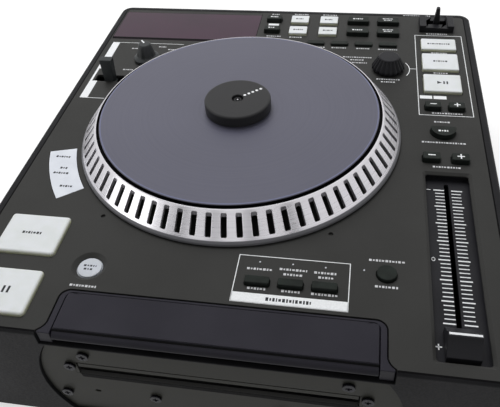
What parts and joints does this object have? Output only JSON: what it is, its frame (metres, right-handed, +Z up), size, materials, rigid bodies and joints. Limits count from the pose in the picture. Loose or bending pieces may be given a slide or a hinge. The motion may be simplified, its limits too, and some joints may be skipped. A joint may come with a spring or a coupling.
{
  "type": "tabletop dj disc player",
  "caption": "Tabletop disc player for DJs: slot front, large slotted platter with scratch disc and hub, long pitch fader, knobs and rows of keys.",
  "frame": {"origin": "centre of the footprint, socket rims included, on the plane the feet stand on", "axes": "+X to the user's right, +Y towards the back, +Z up; the disc slot faces -Y"},
  "size_m": [0.27, 0.318, 0.1056],
  "materials": {
    "case": "satin",
    "base_steel": "matte",
    "panel": "satin",
    "insert": "satin",
    "slot_plate": "satin",
    "black_plastic": "matte",
    "smoked": "gloss",
    "pale_window": "satin",
    "board": "matte",
    "steel": "plain",
    "rubber": "matte",
    "black_steel": "satin",
    "aluminium": "turned",
    "felt": "matte",
    "vinyl": "satin",
    "hub": "satin",
    "pale_key": "satin",
    "dark_key": "satin"
  },
  "bodies": {
    "chassis": {"case_shell": "case", "bottom_plate": "base_steel", "top_panel": "panel", "front_insert": "insert", "slot_plate": "slot_plate", "fader_tray": "black_plastic", "display_window": "smoked", "arc_window": "pale_window", "control_board": "board", "drive_base": "steel", "drive_cover": "steel", "platter_motor": "steel", "feet": "rubber", "screws": "black_steel", "toggle_bezel": "black_plastic", "rear_sockets": "black_plastic", "mains_inlet": "black_plastic"},
    "platter": {"platter": "aluminium", "slip_mat": "felt"},
    "record": {"scratch_disc": "vinyl", "hub_cap": "hub"},
    "pitch_fader": {"pitch_fader": "black_plastic"},
    "source_slider": {"source_slider": "black_plastic"},
    "volume_knob": {"volume_knob": "black_plastic"},
    "encoder_push": {"encoder_sleeve": "steel"},
    "encoder_turn": {"encoder_knob": "black_plastic"},
    "toggle_lever": {"toggle_lever": "black_plastic"},
    "power_rocker": {"power_rocker": "black_plastic"},
    "feed_roller": {"feed_roller": "rubber"},
    "disc_turntable": {"disc_turntable": "steel"},
    "eject_key": {"eject_key": "pale_key"},
    "cue_key": {"cue_key": "pale_key"},
    "play_key": {"play_key": "pale_key"},
    "track_mode_key": {"track_mode_key": "pale_key"},
    "track_cue_key": {"track_cue_key": "pale_key"},
    "track_play_key": {"track_play_key": "pale_key"},
    "track_bend_down_key": {"track_bend_down_key": "dark_key"},
    "track_bend_up_key": {"track_bend_up_key": "dark_key"},
    "tap_key": {"tap_key": "dark_key"},
    "bend_down_key": {"bend_down_key": "dark_key"},
    "bend_up_key": {"bend_up_key": "dark_key"},
    "range_key": {"range_key": "dark_key"},
    "brake_key": {"brake_key": "dark_key"},
    "reverse_key": {"reverse_key": "dark_key"},
    "dump_key": {"dump_key": "dark_key"},
    "flip_upper_key": {"flip_upper_key": "dark_key"},
    "flip_lower_key": {"flip_lower_key": "dark_key"},
    "loop_in_one_key": {"loop_in_one_key": "pale_key"},
    "loop_in_two_key": {"loop_in_two_key": "pale_key"},
    "loop_out_one_key": {"loop_out_one_key": "pale_key"},
    "loop_out_two_key": {"loop_out_two_key": "pale_key"},
    "hop_upper_key": {"hop_upper_key": "dark_key"},
    "hop_lower_key": {"hop_lower_key": "dark_key"},
    "preset_upper_key": {"preset_upper_key": "dark_key"},
    "preset_lower_key": {"preset_lower_key": "dark_key"},
    "time_key": {"time_key": "dark_key"},
    "memo_key": {"memo_key": "dark_key"},
    "menu_key": {"menu_key": "dark_key"},
    "fast_key": {"fast_key": "dark_key"}
  },
  "joints": [
    {"name": "platter_turn", "type": "hinge", "parent": "chassis", "child": "platter", "pos_m": [-0.0124, -0.0035, 0.09], "axis": [0, 0, 1], "continuous": true},
    {"name": "record_turn", "type": "hinge", "parent": "platter", "child": "record", "pos_m": [-0.0124, -0.0035, 0.1], "axis": [0, 0, 1], "continuous": true},
    {"name": "pitch_slide", "type": "slide", "parent": "chassis", "child": "pitch_fader", "axis": [0, 1, 0], "range_m": [0, 0.1]},
    {"name": "source_slide", "type": "slide", "parent": "chassis", "child": "source_slider", "axis": [1, 0, 0], "range_m": [-0.0055, 0.0055]},
    {"name": "volume_turn", "type": "hinge", "parent": "chassis", "child": "volume_knob", "pos_m": [-0.0933, 0.0724, 0.082], "axis": [0, 0, 1], "range_deg": [-150, 150]},
    {"name": "encoder_press", "type": "slide", "parent": "chassis", "child": "encoder_push", "axis": [0, 0, -1], "range_m": [0, 0.001], "stiffness_N_per_m": 400, "springref_m": -0.002},
    {"name": "encoder_spin", "type": "hinge", "parent": "encoder_push", "child": "encoder_turn", "pos_m": [0.0757, 0.07139, 0.082], "axis": [0, 0, 1], "continuous": true},
    {"name": "toggle_tilt", "type": "hinge", "parent": "chassis", "child": "toggle_lever", "pos_m": [0.1099, 0.1313, 0.0784], "axis": [0, 1, 0], "range_deg": [-14, 14]},
    {"name": "power_rock", "type": "hinge", "parent": "chassis", "child": "power_rocker", "pos_m": [-0.062, 0.1495, 0.032], "axis": [1, 0, 0], "range_deg": [-14, 0]},
    {"name": "feed_turn", "type": "hinge", "parent": "chassis", "child": "feed_roller", "pos_m": [0, -0.148, 0.0468], "axis": [1, 0, 0], "continuous": true},
    {"name": "disc_turn", "type": "hinge", "parent": "chassis", "child": "disc_turntable", "pos_m": [0, -0.085, 0.046], "axis": [0, 0, 1], "continuous": true},
    {"name": "eject_press", "type": "slide", "parent": "chassis", "child": "eject_key", "axis": [0, 0, -1], "range_m": [0, 0.001], "stiffness_N_per_m": 300, "springref_m": -0.002},
    {"name": "cue_press", "type": "slide", "parent": "chassis", "child": "cue_key", "axis": [0, 0, -1], "range_m": [0, 0.001], "stiffness_N_per_m": 300, "springref_m": -0.002},
    {"name": "play_press", "type": "slide", "parent": "chassis", "child": "play_key", "axis": [0, 0, -1], "range_m": [0, 0.001], "stiffness_N_per_m": 300, "springref_m": -0.002},
    {"name": "track_mode_press", "type": "slide", "parent": "chassis", "child": "track_mode_key", "axis": [0, 0, -1], "range_m": [0, 0.001], "stiffness_N_per_m": 300, "springref_m": -0.002},
    {"name": "track_cue_press", "type": "slide", "parent": "chassis", "child": "track_cue_key", "axis": [0, 0, -1], "range_m": [0, 0.001], "stiffness_N_per_m": 300, "springref_m": -0.002},
    {"name": "track_play_press", "type": "slide", "parent": "chassis", "child": "track_play_key", "axis": [0, 0, -1], "range_m": [0, 0.001], "stiffness_N_per_m": 300, "springref_m": -0.002},
    {"name": "track_bend_down_press", "type": "slide", "parent": "chassis", "child": "track_bend_down_key", "axis": [0, 0, -1], "range_m": [0, 0.001], "stiffness_N_per_m": 300, "springref_m": -0.002},
    {"name": "track_bend_up_press", "type": "slide", "parent": "chassis", "child": "track_bend_up_key", "axis": [0, 0, -1], "range_m": [0, 0.001], "stiffness_N_per_m": 300, "springref_m": -0.002},
    {"name": "tap_press", "type": "slide", "parent": "chassis", "child": "tap_key", "axis": [0, 0, -1], "range_m": [0, 0.001], "stiffness_N_per_m": 300, "springref_m": -0.002},
    {"name": "bend_down_press", "type": "slide", "parent": "chassis", "child": "bend_down_key", "axis": [0, 0, -1], "range_m": [0, 0.001], "stiffness_N_per_m": 300, "springref_m": -0.002},
    {"name": "bend_up_press", "type": "slide", "parent": "chassis", "child": "bend_up_key", "axis": [0, 0, -1], "range_m": [0, 0.001], "stiffness_N_per_m": 300, "springref_m": -0.002},
    {"name": "range_press", "type": "slide", "parent": "chassis", "child": "range_key", "axis": [0, 0, -1], "range_m": [0, 0.001], "stiffness_N_per_m": 300, "springref_m": -0.002},
    {"name": "brake_press", "type": "slide", "parent": "chassis", "child": "brake_key", "axis": [0, 0, -1], "range_m": [0, 0.001], "stiffness_N_per_m": 300, "springref_m": -0.002},
    {"name": "reverse_press", "type": "slide", "parent": "chassis", "child": "reverse_key", "axis": [0, 0, -1], "range_m": [0, 0.001], "stiffness_N_per_m": 300, "springref_m": -0.002},
    {"name": "dump_press", "type": "slide", "parent": "chassis", "child": "dump_key", "axis": [0, 0, -1], "range_m": [0, 0.001], "stiffness_N_per_m": 300, "springref_m": -0.002},
    {"name": "flip_upper_press", "type": "slide", "parent": "chassis", "child": "flip_upper_key", "axis": [0, 0, -1], "range_m": [0, 0.001], "stiffness_N_per_m": 300, "springref_m": -0.002},
    {"name": "flip_lower_press", "type": "slide", "parent": "chassis", "child": "flip_lower_key", "axis": [0, 0, -1], "range_m": [0, 0.001], "stiffness_N_per_m": 300, "springref_m": -0.002},
    {"name": "loop_in_one_press", "type": "slide", "parent": "chassis", "child": "loop_in_one_key", "axis": [0, 0, -1], "range_m": [0, 0.001], "stiffness_N_per_m": 300, "springref_m": -0.002},
    {"name": "loop_in_two_press", "type": "slide", "parent": "chassis", "child": "loop_in_two_key", "axis": [0, 0, -1], "range_m": [0, 0.001], "stiffness_N_per_m": 300, "springref_m": -0.002},
    {"name": "loop_out_one_press", "type": "slide", "parent": "chassis", "child": "loop_out_one_key", "axis": [0, 0, -1], "range_m": [0, 0.001], "stiffness_N_per_m": 300, "springref_m": -0.002},
    {"name": "loop_out_two_press", "type": "slide", "parent": "chassis", "child": "loop_out_two_key", "axis": [0, 0, -1], "range_m": [0, 0.001], "stiffness_N_per_m": 300, "springref_m": -0.002},
    {"name": "hop_upper_press", "type": "slide", "parent": "chassis", "child": "hop_upper_key", "axis": [0, 0, -1], "range_m": [0, 0.001], "stiffness_N_per_m": 300, "springref_m": -0.002},
    {"name": "hop_lower_press", "type": "slide", "parent": "chassis", "child": "hop_lower_key", "axis": [0, 0, -1], "range_m": [0, 0.001], "stiffness_N_per_m": 300, "springref_m": -0.002},
    {"name": "preset_upper_press", "type": "slide", "parent": "chassis", "child": "preset_upper_key", "axis": [0, 0, -1], "range_m": [0, 0.001], "stiffness_N_per_m": 300, "springref_m": -0.002},
    {"name": "preset_lower_press", "type": "slide", "parent": "chassis", "child": "preset_lower_key", "axis": [0, 0, -1], "range_m": [0, 0.001], "stiffness_N_per_m": 300, "springref_m": -0.002},
    {"name": "time_press", "type": "slide", "parent": "chassis", "child": "time_key", "axis": [0, 0, -1], "range_m": [0, 0.001], "stiffness_N_per_m": 300, "springref_m": -0.002},
    {"name": "memo_press", "type": "slide", "parent": "chassis", "child": "memo_key", "axis": [0, 0, -1], "range_m": [0, 0.001], "stiffness_N_per_m": 300, "springref_m": -0.002},
    {"name": "menu_press", "type": "slide", "parent": "chassis", "child": "menu_key", "axis": [0, 0, -1], "range_m": [0, 0.001], "stiffness_N_per_m": 300, "springref_m": -0.002},
    {"name": "fast_press", "type": "slide", "parent": "chassis", "child": "fast_key", "axis": [0, 0, -1], "range_m": [0, 0.001], "stiffness_N_per_m": 300, "springref_m": -0.002}
  ]
}
